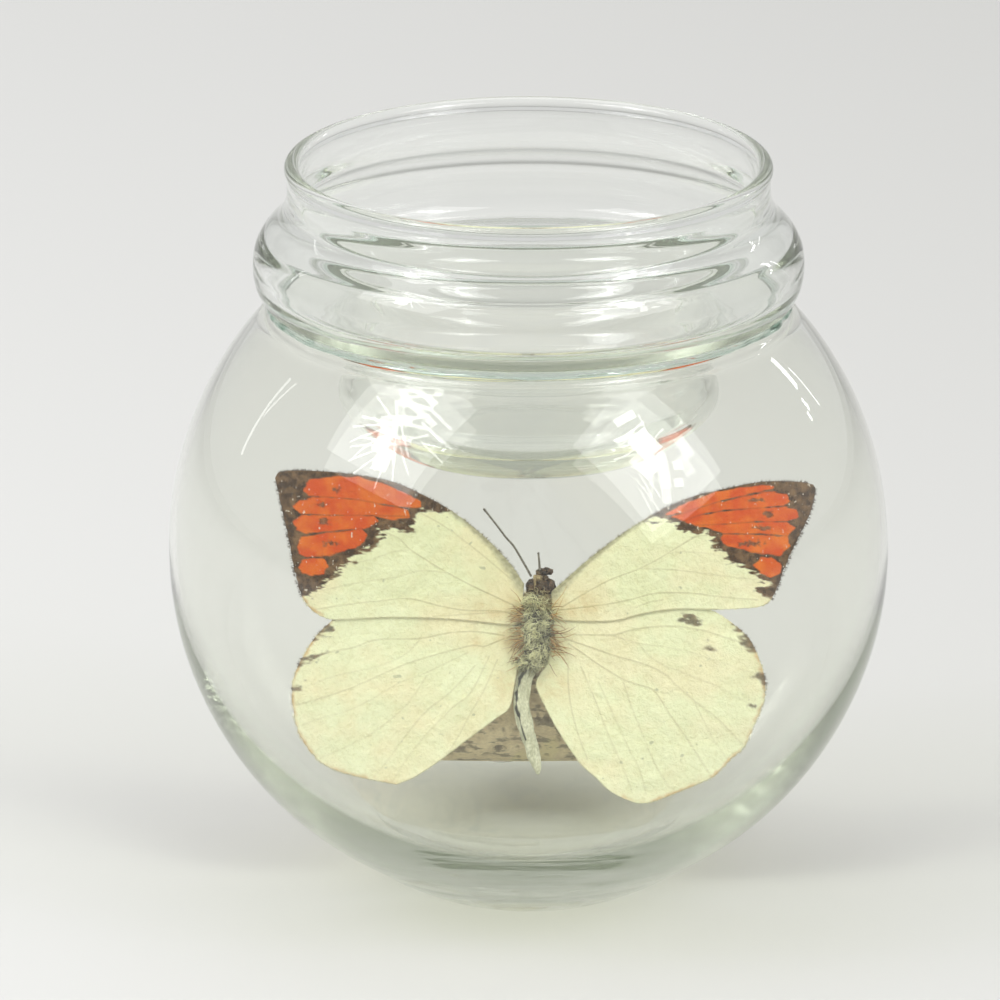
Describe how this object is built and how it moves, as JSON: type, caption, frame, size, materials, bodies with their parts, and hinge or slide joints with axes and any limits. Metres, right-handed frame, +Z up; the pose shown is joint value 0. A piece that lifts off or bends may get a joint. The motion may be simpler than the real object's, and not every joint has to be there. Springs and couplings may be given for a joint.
{
  "type": "butterfly in glass ball with candle cup",
  "caption": "Spread butterfly fixed to a short cork inside a clear glass ball whose wall thickens towards its foot, closed on top by a clear glass candle cup.",
  "frame": {"origin": "centre of the flat foot of the glass ball, on the surface it stands on", "axes": "+Z up along the axis of the ball, -Y towards the front, where the insect shows its upper side, +X to the viewer's right"},
  "size_m": [0.115, 0.115, 0.1211],
  "materials": {
    "clear_glass": "clear, polished",
    "clear_sealant": "clear, slightly yellow-green",
    "natural_cork": "matt, with dark pores",
    "clear_glue": "clear, glossy",
    "insect_fur": "matt, hairy",
    "wing_scales": "matt, fine scales, printed-looking markings",
    "dark_feeler": "matt"
  },
  "bodies": {
    "root": {"glass_ball": "clear_glass", "candle_cup": "clear_glass", "sealant_ring": "clear_sealant", "cork_block": "natural_cork", "glue_pad": "clear_glue", "butterfly_body": "insect_fur", "forewing_left": "wing_scales", "forewing_right": "wing_scales", "hindwing_left": "wing_scales", "hindwing_right": "wing_scales", "antenna_left": "dark_feeler", "antenna_right": "dark_feeler"}
  },
  "joints": []
}
